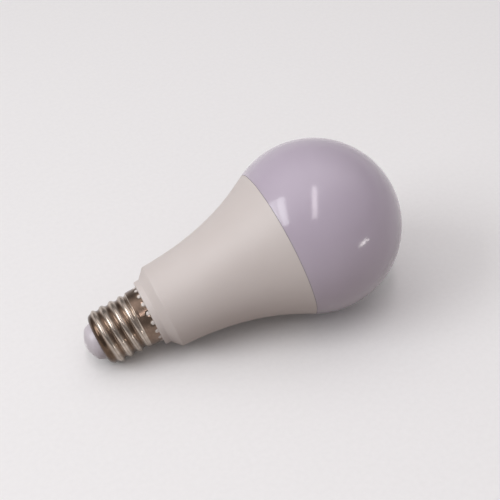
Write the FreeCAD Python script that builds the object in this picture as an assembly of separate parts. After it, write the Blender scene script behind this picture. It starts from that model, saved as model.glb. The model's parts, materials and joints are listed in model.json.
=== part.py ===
"""LED bulb with an E17 intermediate screw cap, lying as it comes to rest on a table.

Every sub-part is drawn on the bulb axis: z runs from the cap tip (0) to the end of the globe, and local
+X is the side that faces the table. The last step lays the whole bulb down on globe and thread.
"""
import FreeCAD
import Part
import math
import os

V = FreeCAD.Vector
AXIS = V(0, 0, 1)

# Globe
globe_radius = 25.0
seam_drop = 11.55
diffuser_wall = 1.2
seam_gap = 0.06
skirt_wall = 1.0
skirt_clearance = 0.05
skirt_root = 0.6
skirt_slope = 1.6

# Screw shell, E17 intermediate thread
pitch = 2.822
crest_radius = 8.25
thread_depth = 0.686
shell_wall = 0.3
shell_front = 3.7
shell_length = 15.9
shoulder = 1.45
rim_radius = 5.85
first_crest = 2.8
thread_lead = 0.5
thread_fade = 0.9
collar_radius = 8.32
collar_length = 3.3
collar_band = 2.8
collar_step = 0.04
collar_lap = 0.6
facing_angle = math.radians(220.7)
notch_count = 18
notch_radius = 0.45
notch_inset = 0.28
tooth_gap = 0.03
tooth_height = 0.1
rows_per_pitch = 12
columns = 36

# Tip insulator and centre contact
contact_radius = 1.9
contact_bevel = 0.7
contact_rise = 0.36
contact_height = 0.45
shank_radius = 0.9
shank_end = 3.0
lead_radius = 0.3
lead_seat = 1.4
insulator_depth = 3.4
insulator_gap = 0.05
insulator_wall = 1.7
flange_gap = 0.76
flange_land = 0.4
flange_slope = 0.4
cavity_floor = 4.0

# Housing
wall = 1.3
neck_gap = 0.11
neck_wall = 1.25
neck_step = 1.0
plug_clearance = 0.02
lip_overhang = 1.43
lip_height = 1.65
lip_foot_round = 0.6
lip_round = 0.35
chamfer_width = 2.65
chamfer_height = 2.45
chamfer_round = 0.6
flare_length = 37.0
flare_start_slope = 0.03
flare_start_reach = 0.57
flare_end_reach = 0.15
flare_points = 24
inner_corner = 1.2
mouth_rim = 1.37
mouth_depth = 1.9
mouth_shoulder = 1.0
tooth_root = 0.3

# Heat sink cup, LED board and chips
board_recess = 4.45
cup_gap = 0.15
cup_wall = 1.0
cup_foot = 11.55
cup_corner = 1.2
led_board_thickness = 1.0
led_board_margin = 0.7
window_radius = 3.4
chip_count = 12
chip_width = 2.8
chip_length = 3.5
chip_height = 0.7
chip_cut = 0.6
screw_ring = 7.2
screw_radius = 0.95
screw_hole_gap = 0.1
screw_head = 1.9
screw_head_height = 1.2
screw_head_round = 0.5
screw_length = 3.4
screw_slot = 0.4
screw_slot_rim = 0.8

# Driver board and the pieces on it, their places measured from the board's step
board_thickness = 1.2
board_inset = 2.9
board_rise = 1.15
board_taper = 1.5
board_half = 8.6
tongue_grip = 0.35
slot_clearance = 0.05
notch_half = 0.35
notch_depth = 1.5
connector_gap = 6.5
capacitor_radius = 4.0
capacitor_length = 11.0
capacitor_place = 4.4
groove_place = 1.8
groove_radius = 0.6
groove_offset = 0.35
inductor_radius = 3.0
inductor_length = 6.0
inductor_rim = 1.2
inductor_waist = 0.6
inductor_across = 3.6
inductor_place = 11.6
rectifier_width = 4.8
rectifier_length = 4.0
rectifier_height = 1.7
rectifier_foot = 0.8
rectifier_across = 4.6
rectifier_place = 1.4
chip_stand = 0.3
ic_width = 3.9
ic_length = 4.9
ic_height = 1.55
ic_stand = 0.15
ic_span = 6.0
ic_leg = 0.4
ic_leg_pitch = 1.27
ic_leg_count = 4
ic_across = 4.6
ic_place = 1.4
film_width = 6.6
film_length = 6.0
film_height = 3.6
film_round = 0.6
film_across = 4.2
film_place = 8.4
fuse_radius = 1.3
fuse_length = 4.8
fuse_place = 4.6
fuse_round = 0.4
fuse_tail = 1.5
neutral_across = 3.5
neutral_drop = 0.5
neutral_tail = 2.5
neutral_turn = 0.6
connector_width = 4.4
connector_depth = 3.0
connector_height = 2.2
connector_wall = 0.4
connector_pocket = 1.0
pin_radius = 0.3
pin_across = 1.0
pin_height = 1.0

# Heights along the axis that follow from the sizes above
shell_end = shell_front + shell_length
first_root = shell_front + shoulder
collar_start = shell_end - collar_length
band_start = shell_end - collar_band
insulator_top = shell_front + insulator_depth
neck_start = insulator_top + neck_step
lip_end = shell_end + lip_height
corner_height = lip_end + chamfer_height
seam_height = corner_height + flare_length
globe_centre = seam_height + seam_drop
cup_top = seam_height - board_recess
cup_end = corner_height + cup_foot
board_start = neck_start + board_inset
board_step = corner_height + board_rise
board_end = cup_top - connector_gap
contact_top = contact_rise + contact_height

# Radii that follow from the sizes above
thread_arc = (pitch ** 2 / 4 + thread_depth ** 2) / (4 * thread_depth)
root_radius = crest_radius - thread_depth
collar_foot = collar_radius - collar_step
plug_radius = collar_foot - shell_wall - plug_clearance
neck_radius = min(root_radius, collar_foot) - shell_wall - neck_gap
neck_bore = neck_radius - neck_wall
board_tongue = neck_bore + tongue_grip
lip_radius = collar_radius + lip_overhang
corner_radius = lip_radius + chamfer_width
seam_radius = math.sqrt(globe_radius ** 2 - seam_drop ** 2)
mouth_radius = seam_radius - mouth_rim


# Edges and simple solids
def chain(points):
    """Straight edges through (radius, height) points."""
    return [Part.LineSegment(V(a[0], 0, a[1]), V(b[0], 0, b[1])).toShape() for a, b in zip(points, points[1:])]


def spline(points):
    """Smooth edge through (radius, height) points."""
    curve = Part.BSplineCurve()
    curve.interpolate([V(r, 0, z) for r, z in points])
    return curve.toShape()


def arc(start, middle, end):
    """Circular edge through three (radius, height) points."""
    return Part.Arc(*[V(r, 0, z) for r, z in (start, middle, end)]).toShape()


def revolve_edges(edges):
    """Turn a closed half profile of edges into a solid."""
    return Part.Face(Part.Wire(edges)).revolve(V(0, 0, 0), AXIS, 360)


def block(x0, x1, y0, y1, z0, z1):
    """Box between two corners."""
    return Part.makeBox(x1 - x0, y1 - y0, z1 - z0, V(x0, y0, z0))


def rod(radius, start, end):
    """Round rod between two points."""
    return Part.makeCylinder(radius, (end - start).Length, start, end - start)


def circle_edges(shape, radius, height):
    """Edges of a shape that run once around the axis at one radius and height."""
    return [e for e in shape.Edges if e.Closed and abs(e.BoundBox.ZMin - height) < 0.01
            and abs(e.BoundBox.ZMax - height) < 0.01 and abs(e.BoundBox.XMax - radius) < 0.01]


# Screw shell
def thread_wave(z, angle):
    """Radius of the rolled thread, two tangent arcs per pitch, climbing one pitch per turn."""
    crest = shell_front + first_crest + pitch * (angle - facing_angle) / (2 * math.pi)
    x = (z - crest) % pitch
    x = min(x, pitch - x)
    if x < pitch / 4:
        return crest_radius - thread_arc + math.sqrt(thread_arc ** 2 - x ** 2)
    return root_radius + thread_arc - math.sqrt(thread_arc ** 2 - (pitch / 2 - x) ** 2)


def blend(value, start, end):
    """Smooth step from 0 at start to 1 at end."""
    t = min(1.0, max(0.0, (value - start) / (end - start)))
    return t * t * (3 - 2 * t)


def shell_radius(z, angle, offset=0.0):
    """Radius of the shell: round shoulder, thread, then the plain collar, all moved in by the offset."""
    if z < first_root:
        t = min(1.0, (first_root - z) / (shoulder - offset))
        base = rim_radius + (root_radius - rim_radius) * math.sqrt(1 - t * t)
    else:
        base = root_radius + (collar_foot - root_radius) * blend(z, collar_start - pitch / 2, collar_start)
    begin = blend(z, first_root - thread_lead, first_root + thread_fade)
    thread = begin * (1 - blend(z, collar_start - thread_fade, collar_start))
    return base + (thread_wave(z, angle) - base) * thread - offset


def shell_body(offset, low, high):
    """Solid inside the shell's surface between two heights: a cubic net of poles, periodic around the axis."""
    spans = round((high - low) / pitch * rows_per_pitch)
    step = (high - low) / spans
    heights = [low + step * i for i in [0, 1 / 3, *range(1, spans), spans - 1 / 3, spans]]
    seam = facing_angle + math.pi / notch_count
    turn = [seam + 2 * math.pi * (i - 1) / columns for i in range(columns)]
    radii = [[shell_radius(z, a, offset) for a in turn] for z in heights]
    poles = []
    for i, z in enumerate(heights):
        row = list(radii[i])
        if 2 < i < len(heights) - 3:
            row = [r + (2 * r - below - above) / 6 for r, below, above in zip(row, radii[i - 1], radii[i + 1])]
        points = [V(r * math.cos(a), r * math.sin(a), z) for r, a in zip(row, turn)]
        poles.append([p + (p * 2 - points[j - 1] - points[(j + 1) % columns]) * (1 / 6)
                      for j, p in enumerate(points)])
        for p in poles[-1]:
            p.z = z
    surface = Part.BSplineSurface()
    surface.buildFromPolesMultsKnots(poles, [4] + [1] * (spans - 1) + [4], [1] * (columns + 1),
                                     [float(i) for i in range(spans + 1)],
                                     [float(i) for i in range(columns + 1)], False, True, 3, 3)
    side = surface.toShape()
    ends = [Part.Face(Part.Wire(e)) for e in side.Edges if e.BoundBox.ZLength < 1e-3]
    shell = Part.makeShell([side] + ends)
    shell.sewShape()
    solid = Part.makeSolid(shell)
    solid.fix(1e-6, 1e-6, 1e-6)
    return solid


def crimp_pins(radius, inner, outer):
    """Ring of short radial pins at the rim, one for each place where shell and housing lock."""
    pins = []
    for i in range(notch_count):
        a = facing_angle + 2 * math.pi * i / notch_count
        out = V(math.cos(a), math.sin(a), 0)
        foot = V(0, 0, shell_end - notch_inset)
        pins.append(rod(radius, foot + out * inner, foot + out * outer))
    return Part.makeCompound(pins)


def make_screw_shell():
    """Thin rolled shell with a helical thread and a ring of crimp notches in its rim."""
    high = band_start + collar_lap
    tube = shell_body(0, shell_front, high).cut(shell_body(shell_wall, shell_front - 1, high + 1))
    band = Part.makeCylinder(collar_radius, collar_band, V(0, 0, band_start))
    band = band.cut(Part.makeCylinder(plug_radius, shell_end, V(0, 0, 0)))
    notches = crimp_pins(notch_radius, plug_radius - 1, collar_radius + 1)
    return tube.fuse(band).cut(notches.Solids).Solids[0]


# Tip
def make_tip_insulator():
    """Domed insulator held by the rim of the shell, with a seat for the contact."""
    collar = rim_radius - shell_wall - insulator_gap
    flange = root_radius - shell_wall - flange_gap
    flange_start = shell_front + flange_land
    cavity = collar - insulator_wall + 0.5

    def dome(across, up):
        """Place on the dome as shares of its width and height outside the contact."""
        return (contact_radius + (collar - contact_radius) * across,
                contact_rise + (shell_front - contact_rise) * up)
    start, end = dome(0, 0), dome(1, 1)
    edges = [arc(start, dome(0.236, 0.083), dome(0.444, 0.198)),
             arc(dome(0.444, 0.198), dome(0.708, 0.354), dome(0.867, 0.570))]
    edges += chain([dome(0.867, 0.570), end, (collar, flange_start), (flange, flange_start + flange_slope),
                    (flange, insulator_top), (cavity, insulator_top), (cavity, cavity_floor),
                    (contact_radius + 0.7, shank_end - 0.4), (shank_radius, shank_end - 0.4),
                    (shank_radius, contact_top), (contact_radius, contact_top), start])
    return revolve_edges(edges)


def make_centre_contact():
    """Rivet flush in the end of the dome, flat in the middle, with a hollow shank for the live lead."""
    flat = contact_radius - contact_bevel
    middle = (flat + contact_bevel * 0.59, contact_rise * 0.28)
    edges = [arc((flat, 0), middle, (contact_radius, contact_rise))]
    edges += chain([(contact_radius, contact_rise), (contact_radius, contact_top), (shank_radius, contact_top),
                    (shank_radius, shank_end), (lead_radius, shank_end), (lead_radius, lead_seat),
                    (0, lead_seat), (0, 0), (flat, 0)])
    return revolve_edges(edges)


# Housing
def flare(offset, start, end):
    """Flare of the housing moved in by the offset, between two heights, tangent to the globe at the seam."""
    slope = seam_drop / seam_radius
    low = flare_length * flare_start_reach
    high = flare_length * flare_end_reach
    poles = [(corner_radius, corner_height), (corner_radius + flare_start_slope * low, corner_height + low),
             (seam_radius - slope * high, seam_height - high), (seam_radius, seam_height)]
    curve = Part.BezierCurve()
    curve.setPoles([V(r, 0, z) for r, z in poles])
    points = []
    for i in range(flare_points + 1):
        place = curve.value(i / flare_points)
        along = curve.tangent(i / flare_points)[0]
        r, z = place.x - offset * along.z, place.z + offset * along.x
        if start - 1e-6 <= z <= end + 1e-6:
            points.append((r, z))
    return points


def chamfer_inside():
    """Height of the housing's inner floor and the radius where it meets the inside of the chamfer."""
    shift = wall / math.hypot(chamfer_width, chamfer_height)
    return lip_end + shift * chamfer_width, lip_radius - shift * chamfer_height


def make_housing():
    """Hollow flared housing with a neck, a lip, crimp teeth and slots for the driver board."""
    outer = flare(0, corner_height, seam_height)
    mouth_floor = seam_height - mouth_depth
    inner = flare(wall, corner_height + inner_corner, mouth_floor - mouth_shoulder)
    floor, floor_radius = chamfer_inside()
    edges = [spline(outer)]
    edges += chain([outer[-1], (mouth_radius, seam_height), (mouth_radius, mouth_floor),
                    (inner[-1][0], mouth_floor), inner[-1]])
    edges.append(spline(inner))
    edges += chain([inner[0], (floor_radius, floor), (neck_bore, floor), (neck_bore, neck_start),
                    (neck_radius, neck_start), (neck_radius, band_start), (plug_radius, band_start),
                    (plug_radius, shell_end), (lip_radius, shell_end), (lip_radius, lip_end), outer[0]])
    body = revolve_edges(edges)
    half = board_thickness / 2 + slot_clearance
    body = body.cut(block(-half, half, -board_tongue, board_tongue, board_start, floor + 1))
    body = body.makeFillet(lip_foot_round, circle_edges(body, lip_radius, shell_end))
    body = body.makeFillet(lip_round, circle_edges(body, lip_radius, lip_end))
    body = body.makeFillet(chamfer_round, circle_edges(body, corner_radius, corner_height))
    return body.fuse(crimp_pins(notch_radius - tooth_gap, plug_radius - tooth_root, collar_radius + tooth_height))


# Diffuser
def on_sphere(radius, height):
    """Radius of a sphere about the globe's centre at a height on the axis."""
    return math.sqrt(radius ** 2 - (height - globe_centre) ** 2)


def make_diffuser():
    """Milky globe with a skirt that plugs into the mouth of the housing."""
    base = seam_height + seam_gap
    inner_globe = globe_radius - diffuser_wall
    skirt_out = mouth_radius - skirt_clearance
    skirt_in = skirt_out - skirt_wall
    foot = seam_height - mouth_depth + skirt_clearance
    root = base + skirt_root
    inner_z = root + skirt_slope
    outer_r, inner_r = on_sphere(globe_radius, base), on_sphere(inner_globe, inner_z)
    edges = [arc((outer_r, base), (globe_radius, globe_centre), (0, globe_centre + globe_radius))]
    edges += chain([(0, globe_centre + globe_radius), (0, globe_centre + inner_globe)])
    edges.append(arc((0, globe_centre + inner_globe), (inner_globe, globe_centre), (inner_r, inner_z)))
    edges += chain([(inner_r, inner_z), (skirt_in, root), (skirt_in, foot), (skirt_out, foot), (skirt_out, base),
                    (outer_r, base)])
    return revolve_edges(edges)


# Heat sink, LED board and chips
def window(height, depth):
    """Round hole on the axis for the output connector."""
    return Part.makeCylinder(window_radius, depth, V(0, 0, height))


def screw_places():
    """Axis positions of the two board screws."""
    return [V(0, side * screw_ring, 0) for side in (1, -1)]


def cup_outline(offset, top):
    """Side of the cup moved in by the offset, up to its rounded-off top corner."""
    return flare(wall + cup_gap + offset, cup_end, top - cup_corner)


def make_heat_sink_cup():
    """Aluminium cup that lines the flare and carries the LED board on its flat top."""
    ceiling = cup_top - cup_wall
    outside, inside = cup_outline(0, cup_top), cup_outline(cup_wall, ceiling)
    edges = [spline(outside)]
    edges += chain([outside[-1], (outside[-1][0], cup_top), (0, cup_top), (0, ceiling),
                    (inside[-1][0], ceiling), inside[-1]])
    edges.append(spline(inside))
    edges += chain([inside[0], outside[0]])
    cup = revolve_edges(edges).cut(window(ceiling - 1, cup_wall + 2))
    for place in screw_places():
        cup = cup.cut(Part.makeCylinder(screw_radius, cup_wall + 2, place + V(0, 0, ceiling - 1)))
    return cup


def led_board_radius():
    """Radius of the LED board, inside the edge of the cup's flat top."""
    return cup_outline(0, cup_top)[-1][0] - led_board_margin


def make_led_board():
    """Metal-core disc with the window for the connector and two screw holes."""
    board = Part.makeCylinder(led_board_radius(), led_board_thickness, V(0, 0, cup_top))
    board = board.cut(window(cup_top - 1, led_board_thickness + 2))
    for place in screw_places():
        hole = Part.makeCylinder(screw_radius + screw_hole_gap, led_board_thickness + 2,
                                 place + V(0, 0, cup_top - 1))
        board = board.cut(hole)
    return board


def make_led_chip(index):
    """Small package with one cut corner, seated on the board midway between screw heads and board edge."""
    x, y = chip_width / 2, chip_length / 2
    z = cup_top + led_board_thickness
    points = [V(-x, -y, z), V(x, -y, z), V(x, y - chip_cut, z), V(x - chip_cut, y, z), V(-x, y, z)]
    chip = Part.Face(Part.makePolygon(points + points[:1])).extrude(V(0, 0, chip_height))
    chip.translate(V((screw_ring + screw_head + led_board_radius()) / 2, 0, 0))
    chip.rotate(V(0, 0, 0), AXIS, 360 * (index + 0.5) / chip_count)
    return chip


def make_board_screw(place):
    """Pan head screw with a cross slot."""
    seat = cup_top + led_board_thickness
    top = seat + screw_head_height
    shank = Part.makeCylinder(screw_radius, screw_length, place + V(0, 0, seat - screw_length))
    head = Part.makeCylinder(screw_head, screw_head_height, place + V(0, 0, seat))
    head = head.makeFillet(screw_head_round, [e for e in head.Edges if e.Closed
                                              and abs(e.BoundBox.ZMin - top) < 0.01])
    x, y = place.x, place.y
    reach, half, floor = screw_head - screw_slot_rim, screw_slot / 2, seat + screw_head_height / 2
    slots = block(x - reach, x + reach, y - half, y + half, floor, top + 1)
    slots = slots.fuse(block(x - half, x + half, y - reach, y + reach, floor, top + 1))
    return head.cut(slots).fuse(shank)


# Driver
def make_driver_board():
    """Upright board whose tongue slides into the slots of the neck."""
    half = board_thickness / 2
    shoulder_z = board_step + board_taper
    side = [(board_tongue, board_start), (board_tongue, board_step), (board_half, shoulder_z),
            (board_half, board_end)]
    points = [V(x, -half, z) for x, z in side] + [V(-x, -half, z) for x, z in reversed(side)]
    board = Part.Face(Part.makePolygon(points + points[:1])).extrude(V(0, board_thickness, 0))
    return board.cut(block(-notch_half, notch_half, -half, half, board_start, board_start + notch_depth))


def make_smoothing_capacitor():
    """Can with a crimp groove, lying on the board."""
    y = board_thickness / 2 + capacitor_radius
    z = board_step + capacitor_place
    can = Part.makeCylinder(capacitor_radius, capacitor_length, V(0, y, z))
    return can.cut(Part.makeTorus(capacitor_radius + groove_offset, groove_radius, V(0, y, z + groove_place)))


def make_inductor():
    """Drum core with a wound waist, standing off the back of the board."""
    foot = V(-inductor_across, -board_thickness / 2, board_step + inductor_place)
    back = V(0, -1, 0)
    waist_foot = foot + back * inductor_rim
    waist_length = inductor_length - 2 * inductor_rim
    drum = Part.makeCylinder(inductor_radius, inductor_length, foot, back)
    waist = Part.makeCylinder(inductor_radius + 1, waist_length, waist_foot, back)
    core = Part.makeCylinder(inductor_radius - inductor_waist, waist_length, waist_foot, back)
    return drum.cut(waist.cut(core))


def back_block(x, width, z, length, height, stand=0.0):
    """Block on the back of the driver board, centred on x, from a height above the board's step."""
    y = -board_thickness / 2 - stand
    low = board_step + z
    return block(x - width / 2, x + width / 2, y - height, y, low, low + length)


def make_rectifier():
    """Bridge package with four feet."""
    body = back_block(-rectifier_across, rectifier_width, rectifier_place, rectifier_length, rectifier_height,
                      chip_stand)
    for side in (-1, 1):
        for low in (rectifier_foot, rectifier_length - 2 * rectifier_foot):
            body = body.fuse(back_block(-rectifier_across + side * rectifier_width / 2, rectifier_foot,
                                        rectifier_place + low, rectifier_foot, rectifier_height / 2))
    return body


def make_driver_ic():
    """Eight-legged control chip."""
    body = back_block(ic_across, ic_width, ic_place, ic_length, ic_height, ic_stand)
    legs = ic_leg_count * ic_leg_pitch
    reach = (ic_span - ic_width) / 2 + ic_leg
    for side in (-1, 1):
        for i in range(ic_leg_count):
            low = ic_place + (ic_length - legs) / 2 + ic_leg_pitch * (i + 0.5) - ic_leg / 2
            body = body.fuse(back_block(ic_across + side * (ic_span - reach) / 2, reach, low, ic_leg,
                                        ic_height / 3))
    return body


def make_film_capacitor():
    """Box capacitor with rounded ends, seated on the board."""
    body = back_block(film_across, film_width, film_place, film_length, film_height)
    edges = [e for e in body.Edges if e.BoundBox.YLength > film_height / 2]
    return body.makeFillet(film_round, edges)


def make_fuse_resistor():
    """Fusible resistor between the contact and the board, with its two leads."""
    body = Part.makeCylinder(fuse_radius, fuse_length, V(0, 0, fuse_place))
    body = body.makeFillet(fuse_round, [e for e in body.Edges if e.Closed])
    return body.fuse(rod(lead_radius, V(0, 0, lead_seat), V(0, 0, board_start + fuse_tail)))


def make_neutral_lead():
    """Lead from the edge of the board to the inside of the shell."""
    z = neck_start - neutral_drop
    inside = shell_radius(z, 0) - shell_wall
    y = board_thickness / 2 + lead_radius
    top, bend = V(neutral_across, y, board_start + neutral_tail), V(neutral_across, y, z)
    end = V(neutral_turn, inside - lead_radius, z)
    lead = rod(lead_radius, top, bend).fuse(Part.makeSphere(lead_radius, bend))
    return lead.fuse(rod(lead_radius, bend, end))


def make_output_connector():
    """Two-pole plug from the end of the driver board through the window to the LED board."""
    x, y, top = connector_width / 2, connector_depth / 2, cup_top + connector_height
    body = block(-x, x, -y, y, board_end, top)
    x, y = x - connector_wall, y - connector_wall
    body = body.cut(block(-x, x, -y, y, top - connector_pocket, top + 1))
    for side in (-pin_across, pin_across):
        foot = V(side, 0, top - connector_pocket - 0.2)
        body = body.fuse(rod(pin_radius, foot, foot + V(0, 0, pin_height)))
    return body


# Placing
def resting_tilt():
    """Angle of the axis when globe and shell both touch the table."""
    steps = [shell_front + shell_length * i / 200 for i in range(201)]
    spread = [math.radians(3 * i) for i in range(-7, 8)]
    outline = [(max(shell_radius(z, a) * math.cos(a) for a in spread), z) for z in steps]
    outline.append((corner_radius, corner_height))
    angles = []
    for r, z in outline:
        reach = globe_centre - z
        angles.append(math.asin(globe_radius / math.hypot(reach, r)) - math.atan2(r, reach))
    return math.degrees(min(angles))


def build_driver():
    """The driver's sub-parts, drawn on a board across local Y and turned so that its capacitor, the heavy
    side on which the bulb comes to rest, faces the table."""
    parts = {"driver_board": make_driver_board(), "smoothing_capacitor": make_smoothing_capacitor(),
             "inductor": make_inductor(), "rectifier": make_rectifier(), "driver_ic": make_driver_ic(),
             "film_capacitor": make_film_capacitor(), "fuse_resistor": make_fuse_resistor(),
             "neutral_lead": make_neutral_lead(), "output_connector": make_output_connector()}
    for shape in parts.values():
        shape.rotate(V(0, 0, 0), AXIS, -90)
    return parts


def build():
    """All sub-parts on the bulb axis, by name."""
    parts = {"screw_shell": make_screw_shell(), "tip_insulator": make_tip_insulator(),
             "centre_contact": make_centre_contact(), "housing": make_housing(), "diffuser": make_diffuser(),
             "heat_sink_cup": make_heat_sink_cup(), "led_board": make_led_board()}
    parts.update(build_driver())
    for i, place in enumerate(screw_places()):
        parts["board_screw_%d" % (i + 1)] = make_board_screw(place)
    for i in range(chip_count):
        parts["led_chip_%02d" % (i + 1)] = make_led_chip(i)
    return parts


def lay_down(parts):
    """Turn the bulb onto the table and centre it over the origin."""
    tilt = resting_tilt()
    for shape in parts.values():
        shape.rotate(V(0, 0, 0), V(0, 1, 0), 90 - tilt)
    lean = math.radians(tilt)
    centre = V(globe_centre * math.cos(lean), 0, globe_centre * math.sin(lean))
    right = centre.x + globe_radius
    left = min(parts[name].BoundBox.XMin for name in ("centre_contact", "tip_insulator"))
    shift = V(-(left + right) / 2, 0, globe_radius - centre.z)
    for shape in parts.values():
        shape.translate(shift)
    return tilt, shift


def main():
    """Write one file for each sub-part."""
    os.makedirs("parts", exist_ok=True)
    parts = build()
    tilt, shift = lay_down(parts)
    for name, shape in parts.items():
        shape.exportStep("parts/%s.step" % name)
    print("tilt %.9f degrees, tip at (%.9f, %.9f) mm" % (tilt, shift.x, shift.z))


main()
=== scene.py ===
"""Looks of the LED bulb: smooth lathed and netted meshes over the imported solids, their materials, the
pale floor, soft light and the camera of the photograph."""
import json
import math

import bpy
from mathutils import Matrix, Vector

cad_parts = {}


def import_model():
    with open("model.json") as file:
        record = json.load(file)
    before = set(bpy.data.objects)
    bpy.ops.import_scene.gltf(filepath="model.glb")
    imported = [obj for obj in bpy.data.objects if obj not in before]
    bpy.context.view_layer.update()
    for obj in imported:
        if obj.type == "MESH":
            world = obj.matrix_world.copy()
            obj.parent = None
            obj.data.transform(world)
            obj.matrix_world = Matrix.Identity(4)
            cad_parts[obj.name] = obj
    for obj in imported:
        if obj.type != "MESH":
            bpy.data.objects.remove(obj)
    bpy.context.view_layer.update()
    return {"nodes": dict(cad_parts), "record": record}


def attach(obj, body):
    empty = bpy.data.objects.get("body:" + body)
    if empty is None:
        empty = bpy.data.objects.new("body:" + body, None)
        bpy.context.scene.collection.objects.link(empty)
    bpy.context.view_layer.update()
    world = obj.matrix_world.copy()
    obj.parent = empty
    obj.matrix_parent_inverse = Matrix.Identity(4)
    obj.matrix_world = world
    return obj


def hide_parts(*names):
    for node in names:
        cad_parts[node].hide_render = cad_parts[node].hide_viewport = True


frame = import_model()

MM = 0.001

# The solids' own sizes, in millimetres along the bulb axis from the cap tip.
LENGTH = 97.25
GLOBE_R = 25.0
GLOBE_Z = LENGTH - GLOBE_R
PITCH = 2.822
CREST_R = 8.25
ARC_R = 0.8971
SHELL_WALL = 0.3
SHELL_FRONT = 3.7
RIM_R = 5.85
FIRST_ROOT = 5.15
COLLAR_R = 8.32
COLLAR_STEP = 0.04
COLLAR_START = 16.3
COLLAR_LOW = COLLAR_START + 0.5
SHELL_END = 19.6
CREST_FACING = 6.5
FACING = math.radians(220.7)
NOTCHES = 18
NOTCH_INSET = 0.28
TOOTH_TOP = COLLAR_R + 0.1
CONTACT_R = 1.9
CONTACT_FLAT = 1.2
CONTACT_RISE = 0.36
SHANK_R = 0.88
SHANK_END = 3.0
LEAD_R = 0.32
LEAD_SEAT = 1.42
LIP_R = 9.75
LIP_END = 21.25
CORNER_R = 12.4
CORNER_Z = 23.7
FLARE_SLOPE = 0.03
FLARE_START_REACH = 0.57
FLARE_END_REACH = 0.15
HOUSING_WALL = 1.35
PLUG_R = 7.95
NECK_R = 7.15
NECK_BORE = 5.9
NECK_FOOT = 8.1
SEAM_Z = 60.7
SEAM_R = math.sqrt(GLOBE_R ** 2 - (GLOBE_Z - SEAM_Z) ** 2)
SEAM_GAP = 0.06
MOUTH_R = 20.8
MOUTH_DEPTH = 1.9
GLOBE_WALL = 1.2
SKIRT_WALL = 1.0
SKIRT_GAP = 0.05

# The crimps are a little larger here than in the solids, as squeezed metal and plastic look.
NOTCH_R = 0.55
TOOTH_R = 0.56
DENT_DEPTH = 0.12
DENT_REACH = 0.42

# Columns of vertices round a lathed piece
ROUND = 192


# Place of the bulb axis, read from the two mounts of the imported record.
def axis_frame():
    """Matrix from axis coordinates in millimetres to the row frame in metres."""
    mounts = {m["name"]: m for m in frame["record"]["mounts"]}
    tip = Vector(mounts["centre_contact"]["pos_m"])
    along = -Vector(mounts["screw_cap"]["axis"]).normalized()
    side = Vector((0, 1, 0))
    down = side.cross(along).normalized()
    turn = Matrix((down, side, along)).transposed().to_4x4()
    return Matrix.Translation(tip) @ turn @ Matrix.Scale(MM, 4)


AXIS = axis_frame()


# Mesh helpers
def mesh_object(name, verts, faces, sharp_deg):
    """Object from points in axis coordinates, shaded smooth except at sharp edges."""
    mesh = bpy.data.meshes.new(name)
    mesh.from_pydata([AXIS @ Vector(v) for v in verts], [], faces)
    mesh.validate()
    mesh.update()
    mesh.shade_smooth()
    mesh.set_sharp_from_angle(angle=math.radians(sharp_deg))
    obj = bpy.data.objects.new(name, mesh)
    bpy.context.scene.collection.objects.link(obj)
    return obj


def rounded(corners):
    """Profile points from (radius, height, fillet) corners, each fillet as a short arc."""
    points = []
    count = len(corners)
    for i, (r, z, fillet) in enumerate(corners):
        if fillet <= 0 or i in (0, count - 1):
            points.append((r, z))
            continue
        here = Vector((r, z))
        before = Vector(corners[i - 1][:2]) - here
        after = Vector(corners[i + 1][:2]) - here
        angle = before.angle(after)
        reach = min(fillet / math.tan(angle / 2), before.length * 0.49, after.length * 0.49)
        start, end = here + before.normalized() * reach, here + after.normalized() * reach
        for k in range(7):
            t = k / 6
            p = start * (1 - t) ** 2 + here * (2 * t * (1 - t)) + end * t ** 2
            points.append((p.x, p.y))
    return points


def lathe(name, profile, sharp_deg=40):
    """Closed solid of revolution from a closed (radius, height) profile that may touch the axis."""
    verts, rings = [], []
    for r, z in profile:
        if r < 1e-6:
            rings.append([len(verts)])
            verts.append((0, 0, z))
        else:
            first = len(verts)
            rings.append(list(range(first, first + ROUND)))
            verts += [(r * math.cos(2 * math.pi * i / ROUND), r * math.sin(2 * math.pi * i / ROUND), z)
                      for i in range(ROUND)]
    faces = []
    for ring, following in zip(rings, rings[1:] + rings[:1]):
        if len(ring) == 1 and len(following) == 1:
            continue
        for i in range(ROUND):
            j = (i + 1) % ROUND
            corner = [ring[i % len(ring)], ring[j % len(ring)], following[j % len(following)],
                      following[i % len(following)]]
            unique = list(dict.fromkeys(corner))
            if len(unique) > 2:
                faces.append(tuple(reversed(unique)))
    return mesh_object(name, verts, faces, sharp_deg)


def arc_points(radius, centre_z, start, end, count):
    """Points on a circle about a place on the axis, angles in radians from the waist."""
    return [(radius * math.cos(start + (end - start) * i / count),
             centre_z + radius * math.sin(start + (end - start) * i / count)) for i in range(count + 1)]


# Screw shell
def smooth(value, start, end):
    """Smooth step from 0 at start to 1 at end."""
    t = min(1.0, max(0.0, (value - start) / (end - start)))
    return t * t * (3 - 2 * t)


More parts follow.
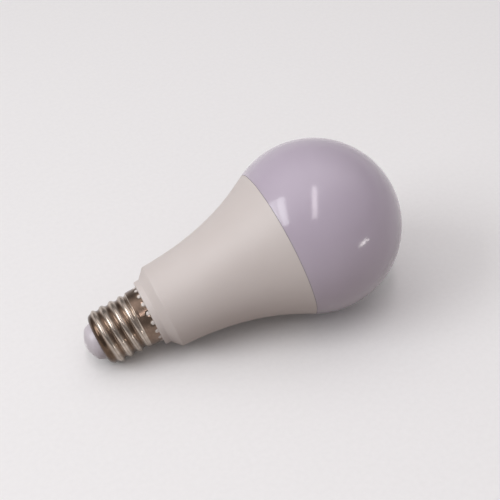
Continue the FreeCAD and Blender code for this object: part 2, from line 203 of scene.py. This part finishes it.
def shell_radius(z, angle):
    """Outer radius of the shell, as in the solids."""
    root = CREST_R - 2 * ARC_R + math.sqrt(4 * ARC_R ** 2 - PITCH ** 2 / 4)
    x = (z - CREST_FACING - PITCH * (angle - FACING) / (2 * math.pi)) % PITCH
    x = min(x, PITCH - x)
    if x < PITCH / 4:
        wave = CREST_R - ARC_R + math.sqrt(ARC_R ** 2 - x ** 2)
    else:
        wave = root + ARC_R - math.sqrt(ARC_R ** 2 - (PITCH / 2 - x) ** 2)
    if z < FIRST_ROOT:
        t = min(1.0, (FIRST_ROOT - z) / (FIRST_ROOT - SHELL_FRONT))
        base = RIM_R + (root - RIM_R) * math.sqrt(1 - t * t)
    else:
        top = COLLAR_R - COLLAR_STEP
        base = root + (top - root) * smooth(z, COLLAR_START - PITCH / 2, COLLAR_START)
    start = smooth(z, FIRST_ROOT - 0.5, FIRST_ROOT + 0.9)
    thread = start * (1 - smooth(z, COLLAR_START - 0.9, COLLAR_START))
    return base + (wave - base) * thread + COLLAR_STEP * smooth(z, COLLAR_LOW - 0.05, COLLAR_LOW + 0.05)


def notch_offset(angle):
    """Distance round the collar from an angle to the middle of its nearest notch."""
    step = 2 * math.pi / NOTCHES
    off = (angle - FACING + step / 2) % step - step / 2
    return off * COLLAR_R


def rim_height(angle):
    """Height of the shell's rim, which dips round each crimp notch."""
    along = abs(notch_offset(angle))
    if along >= NOTCH_R:
        return SHELL_END
    dip = SHELL_END - NOTCH_INSET - math.sqrt(NOTCH_R ** 2 - along ** 2)
    return min(SHELL_END, dip)


def notch_dent(z, angle):
    """How far the punch pushed the metal in beside a notch."""
    distance = math.hypot(notch_offset(angle), z - (SHELL_END - NOTCH_INSET))
    return DENT_DEPTH * (1 - smooth(distance, NOTCH_R, NOTCH_R + DENT_REACH))


def shell_columns():
    """Angles round the shell, closer together at the notches."""
    step = 2 * math.pi / NOTCHES
    half = NOTCH_R / COLLAR_R
    inside = [half * math.sin(math.radians(a)) for a in (-90, -68, -46, -23, 0, 23, 46, 68, 90)]
    gap = step - 2 * half
    between = [half + gap * k / 9 for k in range(1, 9)]
    return [FACING + step * n + a for n in range(NOTCHES) for a in inside + between]


def screw_shell():
    """Rolled shell with its helical thread, plain collar and crimp notches."""
    turn = shell_columns()
    count = len(turn)
    shoulder = [SHELL_FRONT + (FIRST_ROOT - SHELL_FRONT) * (1 - math.cos(math.radians(a)))
                for a in (0, 12, 24, 36, 48, 60, 72, 82)]
    thread = [FIRST_ROOT + (COLLAR_LOW + 0.3 - FIRST_ROOT) * i / 76 for i in range(77)]
    share = [i / 16 for i in range(1, 17)]
    low = thread[-1]
    verts = []
    heights = [[z] * count for z in shoulder + thread]
    heights += [[low + (rim_height(a) - low) * s for a in turn] for s in share]
    outer = []
    for row in heights:
        outer.append(len(verts))
        for z, a in zip(row, turn):
            r = shell_radius(z, a) - notch_dent(z, a)
            verts.append((r * math.cos(a), r * math.sin(a), z))
    inner = []
    for row in reversed(heights[::4] + heights[-1:]):
        inner.append(len(verts))
        for z, a in zip(row, turn):
            r = shell_radius(max(z, SHELL_FRONT + 0.02), a) - notch_dent(z, a) - SHELL_WALL
            verts.append((r * math.cos(a), r * math.sin(a), z + (0.02 if z < SHELL_FRONT + 0.01 else 0)))
    faces = []
    loops = outer + inner
    for a, b in zip(loops, loops[1:] + loops[:1]):
        for i in range(count):
            j = (i + 1) % count
            faces.append((a + i, a + j, b + j, b + i))
    return mesh_object("cap_shell", verts, faces, 50)


# Housing
def flare_points(count):
    """Outer flare of the housing from its lower corner to the seam."""
    slope = (GLOBE_Z - SEAM_Z) / SEAM_R
    length = SEAM_Z - CORNER_Z
    a, d = Vector((CORNER_R, CORNER_Z)), Vector((SEAM_R, SEAM_Z))
    b = a + Vector((FLARE_SLOPE, 1)) * FLARE_START_REACH * length
    c = d - Vector((slope, 1)) * FLARE_END_REACH * length
    points = []
    for i in range(count + 1):
        t = i / count
        points.append(a * (1 - t) ** 3 + b * 3 * t * (1 - t) ** 2 + c * 3 * t * t * (1 - t) + d * t ** 3)
    return [(p.x, p.y) for p in points]


def housing():
    """Flared housing with soft mould edges."""
    flare = flare_points(56)
    lower = rounded([(8.0, SHELL_END, 0), (LIP_R, SHELL_END, 0.6), (LIP_R, LIP_END, 0.35),
                     (CORNER_R, CORNER_Z, 0.6), flare[3] + (0,)])
    upper = rounded([flare[-2] + (0,), (SEAM_R, SEAM_Z, 0.05), (MOUTH_R, SEAM_Z, 0)])
    inside = [(MOUTH_R, SEAM_Z - MOUTH_DEPTH), (MOUTH_R - 1.2, SEAM_Z - MOUTH_DEPTH)]
    thin = [(r - HOUSING_WALL, z) for r, z in reversed(flare[6:-8:6])]
    shelf = LIP_END + 0.9
    neck = [(8.7, shelf), (NECK_BORE, shelf), (NECK_BORE, NECK_FOOT), (NECK_R, NECK_FOOT),
            (NECK_R, COLLAR_LOW), (PLUG_R, COLLAR_LOW), (PLUG_R, SHELL_END)]
    return lathe("body", lower[1:] + flare[4:-2] + upper[1:] + inside + thin + neck, 60)


def crimp_teeth():
    """Round plastic studs that fill the crimp notches of the shell."""
    verts, faces = [], []
    sides = 20
    rings = ((7.6, TOOTH_R), (TOOTH_TOP - 0.12, TOOTH_R), (TOOTH_TOP - 0.05, TOOTH_R * 0.92),
             (TOOTH_TOP, TOOTH_R * 0.7))
    for n in range(NOTCHES):
        a = FACING + 2 * math.pi * n / NOTCHES
        out = Vector((math.cos(a), math.sin(a), 0))
        across = Vector((-math.sin(a), math.cos(a), 0))
        foot = Vector((0, 0, SHELL_END - NOTCH_INSET))
        first = len(verts)
        for reach, radius in rings:
            for k in range(sides):
                w = 2 * math.pi * k / sides
                rise = Vector((0, 0, radius * math.sin(w)))
                p = foot + out * reach + across * radius * math.cos(w) + rise
                verts.append(tuple(p))
        for ring in range(len(rings) - 1):
            for k in range(sides):
                j = (k + 1) % sides
                base = first + ring * sides
                faces.append((base + k, base + j, base + sides + j, base + sides + k))
        faces.append(tuple(first + 3 * sides + k for k in range(sides)))
        faces.append(tuple(first + k for k in reversed(range(sides))))
    return mesh_object("crimp_studs", verts, faces, 50)


# Diffuser
def diffuser():
    """Thin milky globe with its skirt."""
    base = SEAM_Z + SEAM_GAP
    start = -math.asin((GLOBE_Z - base) / GLOBE_R)
    outer = arc_points(GLOBE_R, GLOBE_Z, start, math.pi / 2, 96)
    outer[-1] = (0, LENGTH)
    inner_r = GLOBE_R - GLOBE_WALL
    skirt_out = MOUTH_R - SKIRT_GAP
    skirt_in = MOUTH_R - SKIRT_GAP - SKIRT_WALL
    low = -math.acos(skirt_in / inner_r)
    inner = arc_points(inner_r, GLOBE_Z, low, math.pi / 2, 40)
    inner[-1] = (0, GLOBE_Z + inner_r)
    foot = SEAM_Z - MOUTH_DEPTH + 0.25
    edge = rounded([(skirt_out, base, 0), (outer[0][0], base, 0.05), outer[1] + (0,)])
    profile = edge[:-1] + outer[1:] + list(reversed(inner)) + [(skirt_in, foot), (skirt_out, foot)]
    return lathe("globe", profile, 60)


# Tip
def tip_insulator():
    """Domed insulator at the end of the cap."""
    collar = RIM_R - SHELL_WALL - 0.05
    width, height = collar - CONTACT_R, SHELL_FRONT - CONTACT_RISE
    shares = ((0, 0), (0.236, 0.083), (0.444, 0.198), (0.60, 0.282), (0.708, 0.354), (0.80, 0.456),
              (0.867, 0.570), (0.925, 0.74), (1, 1))
    dome = [(CONTACT_R + 0.01 + width * across, CONTACT_RISE + height * up) for across, up in shares]
    flange = [(collar, 4.1), (6.5, 4.5), (6.5, 7.1)]
    hollow = [(4.3, 7.1), (4.3, 4.0), (2.6, 2.6)]
    seat = [(0.92, 2.6), (0.92, 0.82), (CONTACT_R + 0.01, 0.82)]
    return lathe("tip_dome", spline(dome, 6) + flange + hollow + seat, 45)


def spline(points, steps):
    """Catmull-Rom curve through profile points."""
    padded = [points[0]] + points + [points[-1]]
    result = []
    for p0, p1, p2, p3 in zip(padded, padded[1:], padded[2:], padded[3:]):
        for k in range(steps):
            t = k / steps
            result.append(tuple(0.5 * (2 * b + (c - a) * t + (2 * a - 5 * b + 4 * c - d) * t * t
                                       + (3 * b - a - 3 * c + d) * t ** 3)
                                for a, b, c, d in zip(p0, p1, p2, p3)))
    return result + [points[-1]]


def centre_contact():
    """Rivet head in the end of the dome."""
    head = [(0, 0), (CONTACT_FLAT, 0), (1.45, 0.05), (1.68, 0.16), (1.83, 0.27),
            (CONTACT_R, CONTACT_RISE), (CONTACT_R, 0.8)]
    shank = [(SHANK_R, 0.8), (SHANK_R, SHANK_END), (LEAD_R, SHANK_END), (LEAD_R, LEAD_SEAT), (0, LEAD_SEAT)]
    return lathe("contact_rivet", head + shank, 50)


# Materials
def material(name, colour, rough, metal=0.0):
    """Principled material with its shader and node tree returned."""
    mat = bpy.data.materials.new(name)
    mat.use_nodes = True
    shader = mat.node_tree.nodes["Principled BSDF"]
    shader.inputs["Base Color"].default_value = (*colour, 1)
    shader.inputs["Roughness"].default_value = rough
    shader.inputs["Metallic"].default_value = metal
    return mat, shader, mat.node_tree


def noise(tree, scale, detail=4.0, stretch=None):
    """Noise texture on object coordinates, optionally stretched."""
    coords = tree.nodes.new("ShaderNodeTexCoord")
    mapping = tree.nodes.new("ShaderNodeMapping")
    texture = tree.nodes.new("ShaderNodeTexNoise")
    texture.inputs["Scale"].default_value = scale
    texture.inputs["Detail"].default_value = detail
    if stretch:
        mapping.inputs["Scale"].default_value = stretch
    tree.links.new(coords.outputs["Object"], mapping.inputs["Vector"])
    tree.links.new(mapping.outputs["Vector"], texture.inputs["Vector"])
    return texture.outputs["Fac"]


def tinted(tree, shader, factor, low, high):
    """Colour between two tints by a factor."""
    ramp = tree.nodes.new("ShaderNodeValToRGB")
    ramp.color_ramp.elements[0].position = 0.3
    ramp.color_ramp.elements[1].position = 0.7
    ramp.color_ramp.elements[0].color = (*low, 1)
    ramp.color_ramp.elements[1].color = (*high, 1)
    tree.links.new(factor, ramp.inputs["Fac"])
    tree.links.new(ramp.outputs["Color"], shader.inputs["Base Color"])


def bumped(tree, shader, height, strength, distance):
    """Fine relief from a height value."""
    bump = tree.nodes.new("ShaderNodeBump")
    bump.inputs["Strength"].default_value = strength
    bump.inputs["Distance"].default_value = distance
    tree.links.new(height, bump.inputs["Height"])
    tree.links.new(bump.outputs["Normal"], shader.inputs["Normal"])


def roughened(tree, shader, factor, low, high):
    """Roughness between two values by a factor."""
    spread = tree.nodes.new("ShaderNodeMapRange")
    spread.inputs["To Min"].default_value = low
    spread.inputs["To Max"].default_value = high
    tree.links.new(factor, spread.inputs["Value"])
    tree.links.new(spread.outputs["Result"], shader.inputs["Roughness"])


def axis_distance(tree):
    """Distance from the bulb axis in metres, as a node value."""
    coords = tree.nodes.new("ShaderNodeTexCoord")
    start = AXIS @ Vector((0, 0, 0))
    along = (AXIS @ Vector((0, 0, 1)) - start).normalized()
    offset = tree.nodes.new("ShaderNodeVectorMath")
    offset.operation = "SUBTRACT"
    offset.inputs[1].default_value = start
    cross = tree.nodes.new("ShaderNodeVectorMath")
    cross.operation = "CROSS_PRODUCT"
    cross.inputs[1].default_value = along
    length = tree.nodes.new("ShaderNodeVectorMath")
    length.operation = "LENGTH"
    tree.links.new(coords.outputs["Object"], offset.inputs[0])
    tree.links.new(offset.outputs["Vector"], cross.inputs[0])
    tree.links.new(cross.outputs["Vector"], length.inputs[0])
    return length.outputs["Value"]


def nickel():
    """Aged nickel plate, its colour set by distance from the axis: painted shade darkens the thread roots, a
    painted highlight lightens the crests, the collar is darker again; faint rolling streaks.
    """
    mat, shader, tree = material("nickel plate", (0.20, 0.16, 0.13), 0.2, 1.0)
    # Colour by distance from the axis: painted shade in the thread roots, painted highlight on the crests, a
    # darker plain collar.
    root_shade_crest_highlight = tree.nodes.new("ShaderNodeMapRange")
    root_shade_crest_highlight.inputs["From Min"].default_value = 0.0075
    root_shade_crest_highlight.inputs["From Max"].default_value = 0.0084
    tree.links.new(axis_distance(tree), root_shade_crest_highlight.inputs["Value"])
    ramp = tree.nodes.new("ShaderNodeValToRGB")
    steps = ((0.05, (0.130, 0.085, 0.058)), (0.22, (0.270, 0.198, 0.150)), (0.50, (0.51, 0.430, 0.360)),
             (0.80, (0.60, 0.525, 0.455)), (0.86, (0.250, 0.180, 0.138)))
    for _ in range(3):
        ramp.color_ramp.elements.new(0.5)
    for element, (place, colour) in zip(ramp.color_ramp.elements, steps):
        element.position = place
        element.color = (*colour, 1)
    tree.links.new(root_shade_crest_highlight.outputs["Result"], ramp.inputs["Fac"])
    stain = tree.nodes.new("ShaderNodeMapRange")
    stain.inputs["From Min"].default_value = 0.35
    stain.inputs["From Max"].default_value = 0.75
    stain.inputs["To Min"].default_value = 1.0
    stain.inputs["To Max"].default_value = 0.55
    tree.links.new(noise(tree, 420, 4), stain.inputs["Value"])
    shade = tree.nodes.new("ShaderNodeMix")
    shade.data_type = "RGBA"
    shade.blend_type = "MULTIPLY"
    shade.inputs["Factor"].default_value = 1.0
    tree.links.new(ramp.outputs["Color"], shade.inputs["A"])
    tree.links.new(stain.outputs["Result"], shade.inputs["B"])
    tree.links.new(shade.outputs["Result"], shader.inputs["Base Color"])
    roughened(tree, shader, noise(tree, 900, 5), 0.14, 0.25)
    bumped(tree, shader, noise(tree, 1500, 4), 0.08, 0.00004)
    return mat


def contact_metal():
    """Bright tin plate of the centre contact, faintly scuffed."""
    mat, shader, tree = material("contact plate", (0.70, 0.67, 0.68), 0.35, 1.0)
    tinted(tree, shader, noise(tree, 800, 3), (0.64, 0.61, 0.62), (0.75, 0.72, 0.73))
    roughened(tree, shader, noise(tree, 1500, 4), 0.30, 0.45)
    bumped(tree, shader, noise(tree, 2500, 4), 0.10, 0.00003)
    return mat


def housing_plastic():
    """Warm white moulded plastic with a fine spark-eroded texture."""
    mat, shader, tree = material("housing plastic", (0.615, 0.565, 0.538), 0.45)
    tinted(tree, shader, noise(tree, 45, 3), (0.597, 0.545, 0.517), (0.631, 0.581, 0.553))
    roughened(tree, shader, noise(tree, 2600, 3), 0.40, 0.52)
    bumped(tree, shader, noise(tree, 4200, 3), 0.22, 0.00003)
    shader.inputs["Subsurface Weight"].default_value = 0.08
    shader.inputs["Subsurface Radius"].default_value = (0.9, 0.8, 0.7)
    shader.inputs["Subsurface Scale"].default_value = 0.001
    return mat


def globe_plastic():
    """Milky lavender-tinted diffuser with a glossy skin."""
    mat, shader, tree = material("milky globe", (0.485, 0.425, 0.505), 0.16)
    tinted(tree, shader, noise(tree, 30, 2), (0.475, 0.415, 0.495), (0.495, 0.435, 0.515))
    roughened(tree, shader, noise(tree, 300, 3), 0.11, 0.16)
    shader.inputs["Coat Weight"].default_value = 0.1
    shader.inputs["Coat Roughness"].default_value = 0.08
    bumped(tree, shader, noise(tree, 900, 2), 0.04, 0.00001)
    shader.inputs["Subsurface Weight"].default_value = 0.3
    shader.inputs["Subsurface Radius"].default_value = (1.0, 0.9, 1.0)
    shader.inputs["Subsurface Scale"].default_value = 0.003
    return mat


def tip_plastic():
    """Smooth bluish white insulator."""
    mat, shader, tree = material("insulator plastic", (0.535, 0.495, 0.530), 0.3)
    tinted(tree, shader, noise(tree, 120, 2), (0.515, 0.475, 0.510), (0.555, 0.515, 0.550))
    roughened(tree, shader, noise(tree, 900, 3), 0.26, 0.38)
    bumped(tree, shader, noise(tree, 2400, 3), 0.08, 0.00003)
    return mat


def stud_plastic():
    """White plastic of the crimp studs."""
    mat, shader, tree = material("stud plastic", (0.69, 0.645, 0.615), 0.35)
    tinted(tree, shader, noise(tree, 700, 2), (0.66, 0.615, 0.585), (0.72, 0.675, 0.645))
    return mat


def inner_materials():
    """Materials of the pieces inside, by record slot."""
    looks = {"aluminium": ((0.72, 0.72, 0.73), 0.35, 1.0), "solder_mask": ((0.82, 0.82, 0.80), 0.4, 0.0),
             "led_chip": ((0.85, 0.68, 0.15), 0.35, 0.0), "circuit_board": ((0.03, 0.12, 0.05), 0.4, 0.0),
             "capacitor_sleeve": ((0.02, 0.02, 0.03), 0.3, 0.0), "inductor": ((0.06, 0.05, 0.045), 0.6, 0.0),
             "black_package": ((0.015, 0.015, 0.015), 0.5, 0.0), "film_box": ((0.35, 0.03, 0.02), 0.3, 0.0),
             "resistor": ((0.14, 0.26, 0.22), 0.5, 0.0), "lead_wire": ((0.75, 0.73, 0.70), 0.25, 1.0),
             "connector": ((0.80, 0.80, 0.78), 0.4, 0.0), "screw": ((0.65, 0.64, 0.62), 0.3, 1.0)}
    made = {}
    for slot, (colour, rough, metal) in looks.items():
        mat, shader, tree = material(slot.replace("_", " "), colour, rough, metal)
        darker = [c * 0.92 for c in colour]
        lighter = [min(1.0, c * 1.06) for c in colour]
        tinted(tree, shader, noise(tree, 500, 3), darker, lighter)
        bumped(tree, shader, noise(tree, 1800, 3), 0.1, 0.00004)
        made[slot] = mat
    return made


def dress(obj, mat, slot, *nodes):
    """Give a piece its material and its body, and hide the nodes it stands for; the slot argument is not
    used.
    """
    obj.data.materials.clear()
    obj.data.materials.append(mat)
    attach(obj, "root")
    if nodes:
        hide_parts(*nodes)


dress(screw_shell(), nickel(), "nickel_shell", "screw_shell")
dress(housing(), housing_plastic(), "housing", "housing")
dress(crimp_teeth(), stud_plastic(), "housing")
dress(diffuser(), globe_plastic(), "diffuser", "diffuser")
dress(tip_insulator(), tip_plastic(), "insulator", "tip_insulator")
dress(centre_contact(), contact_metal(), "contact", "centre_contact")

slots = {s["node"]: s["material_slot"] for s in frame["record"]["subparts"]}
inner = inner_materials()
for node, obj in frame["nodes"].items():
    if slots.get(node) in inner:
        obj.data.materials.clear()
        obj.data.materials.append(inner[slots[node]])


# Floor
def floor():
    """Plain pale sheet under the bulb."""
    half = 3.0
    corners = [(-half, -half, 0), (half, -half, 0), (half, half, 0), (-half, half, 0)]
    mesh = bpy.data.meshes.new("floor")
    mesh.from_pydata(corners, [], [(0, 1, 2, 3)])
    obj = bpy.data.objects.new("floor", mesh)
    bpy.context.scene.collection.objects.link(obj)
    mat, shader, tree = material("floor", (0.86, 0.855, 0.85), 0.8)
    tinted(tree, shader, noise(tree, 700, 3), (0.85, 0.845, 0.84), (0.87, 0.865, 0.86))
    shader.inputs["Specular IOR Level"].default_value = 0.0
    seen = tree.nodes.new("ShaderNodeLightPath")
    dim = tree.nodes.new("ShaderNodeBsdfDiffuse")
    dim.inputs["Color"].default_value = (0.22, 0.17, 0.15, 1)
    blend = tree.nodes.new("ShaderNodeMixShader")
    pale = tree.nodes.new("ShaderNodeMath")
    pale.operation = "MAXIMUM"
    glossy = tree.nodes.new("ShaderNodeMath")
    glossy.operation = "MAXIMUM"
    tree.links.new(seen.outputs["Is Camera Ray"], pale.inputs[0])
    tree.links.new(seen.outputs["Is Glossy Ray"], glossy.inputs[0])
    tree.links.new(seen.outputs["Is Transmission Ray"], glossy.inputs[1])
    tree.links.new(glossy.outputs["Value"], pale.inputs[1])
    tree.links.new(pale.outputs["Value"], blend.inputs["Fac"])
    tree.links.new(dim.outputs["BSDF"], blend.inputs[1])
    tree.links.new(shader.outputs["BSDF"], blend.inputs[2])
    tree.links.new(blend.outputs["Shader"], tree.nodes["Material Output"].inputs["Surface"])
    mesh.materials.append(mat)


floor()


# Camera, from a fit of the photograph's outline
VIEW_AZIMUTH = math.radians(-24.806)
VIEW_ELEVATION = math.radians(42.904)
FOCAL_PX = 998.9
FRAME_PX = 500.0
SENSOR = 36.0
GLOBE_RIGHT = 18.075
GLOBE_UP = 6.876
GLOBE_AWAY = 284.93


def camera_axes():
    """Right, up and back directions of the camera."""
    a, e = VIEW_AZIMUTH, VIEW_ELEVATION
    right = Vector((math.cos(a), math.sin(a), 0))
    back = Vector((math.sin(a) * math.cos(e), -math.cos(a) * math.cos(e), math.sin(e)))
    return right, back.cross(right), back


def add_camera():
    """Camera that puts the globe where the photograph has it."""
    right, up, back = camera_axes()
    globe = AXIS @ Vector((0, 0, GLOBE_Z))
    place = globe + (back * GLOBE_AWAY - right * GLOBE_RIGHT - up * GLOBE_UP) * MM
    data = bpy.data.cameras.new("camera")
    data.sensor_width = SENSOR
    data.lens = SENSOR * FOCAL_PX / FRAME_PX
    data.clip_start = 0.01
    obj = bpy.data.objects.new("camera", data)
    obj.matrix_world = Matrix.Translation(place) @ Matrix((right, up, back)).transposed().to_4x4()
    bpy.context.scene.collection.objects.link(obj)
    bpy.context.scene.camera = obj


add_camera()


# Light
SKYLIGHT_MIDDLE = (-0.252, 0.259, 0.932)
SKYLIGHT_SIDE = (-0.07, -0.965, 0.25)
SKYLIGHT_NARROWING = 0.9
SKYLIGHT = 0.9
HORIZON = 0.65
CEILING = 0.36


def area_light(name, direction, upright, distance, width, height, watts, colour, spread_deg, shift=0.0):
    """Rectangular lamp that faces the globe from a direction of the row frame, its height along upright."""
    globe = AXIS @ Vector((0, 0, GLOBE_Z))
    back = Vector(direction).normalized()
    up = Vector(upright)
    up = (up - back * up.dot(back)).normalized()
    data = bpy.data.lights.new(name, "AREA")
    data.shape = "RECTANGLE"
    data.size = width
    data.size_y = height
    data.energy = watts
    data.color = colour
    data.spread = math.radians(spread_deg)
    obj = bpy.data.objects.new(name, data)
    across = up.cross(back)
    obj.matrix_world = (Matrix.Translation(globe + back * distance + across * shift)
                        @ Matrix((across, up, back)).transposed().to_4x4())
    obj.visible_camera = False
    bpy.context.scene.collection.objects.link(obj)


# Two panels side by side on the cap's side, a long one overhead and a small low one
KEY = (-0.807, 0.044, 0.589)
KEY_UP = (0.31, 0.88, 0.36)
OVERHEAD = (-0.158, -0.280, 0.947)
OVERHEAD_UP = (0.41, 0.86, 0.32)
LOW = (0.587, -0.809, 0.039)
LOW_UP = (-0.05, 0.01, 1.0)
COOL = (0.97, 0.98, 1.0)
COOLER = (0.95, 0.98, 1.0)
ROSY = (1.0, 0.93, 0.95)
WARM = (1.0, 0.96, 0.92)
area_light("key_right", KEY, KEY_UP, 0.84, 0.147, 0.53, 0.448, COOL, 100, 0.101)
area_light("key_left", KEY, KEY_UP, 0.84, 0.173, 0.50, 0.361, COOLER, 100, -0.088)
area_light("overhead", OVERHEAD, OVERHEAD_UP, 0.84, 0.085, 0.65, 0.333, ROSY, 100)
area_light("low", LOW, LOW_UP, 0.89, 0.22, 0.055, 0.037, WARM, 60)


def world():
    """Pale surroundings: a long soft skylight over the bulb, a light horizon and a dimmer ceiling."""
    w = bpy.data.worlds.new("world")
    bpy.context.scene.world = w
    w.use_nodes = True
    tree = w.node_tree
    coords = tree.nodes.new("ShaderNodeTexCoord")

    def along(direction):
        """Share of the ray that points in a direction."""
        dot = tree.nodes.new("ShaderNodeVectorMath")
        dot.operation = "DOT_PRODUCT"
        dot.inputs[1].default_value = direction
        tree.links.new(coords.outputs["Generated"], dot.inputs[0])
        return dot.outputs["Value"]

    def ramp(value, start, end, low, high):
        """Smooth change of a value between two marks."""
        change = tree.nodes.new("ShaderNodeMapRange")
        change.interpolation_type = "SMOOTHSTEP"
        for socket, number in (("From Min", start), ("From Max", end), ("To Min", low), ("To Max", high)):
            change.inputs[socket].default_value = number
        tree.links.new(value, change.inputs["Value"])
        return change.outputs["Result"]

    def math_node(operation, a, b):
        """Sum, difference or product of two values."""
        node = tree.nodes.new("ShaderNodeMath")
        node.operation = operation
        tree.links.new(a, node.inputs[0])
        if isinstance(b, float):
            node.inputs[1].default_value = b
        else:
            tree.links.new(b, node.inputs[1])
        return node.outputs["Value"]

    off_line = math_node("ABSOLUTE", along(SKYLIGHT_SIDE), 0.0)
    narrowed = math_node("MULTIPLY", off_line, SKYLIGHT_NARROWING)
    inside = math_node("SUBTRACT", along(SKYLIGHT_MIDDLE), narrowed)
    skylight = ramp(inside, 0.05, 0.95, 0.0, SKYLIGHT)
    horizon = ramp(along((0, 0, 1)), 0.06, 0.30, HORIZON, CEILING)
    background = tree.nodes["Background"]
    background.inputs["Color"].default_value = (0.95, 0.92, 0.93, 1)
    tree.links.new(math_node("ADD", skylight, horizon), background.inputs["Strength"])


world()
bpy.context.scene.view_settings.view_transform = "Standard"
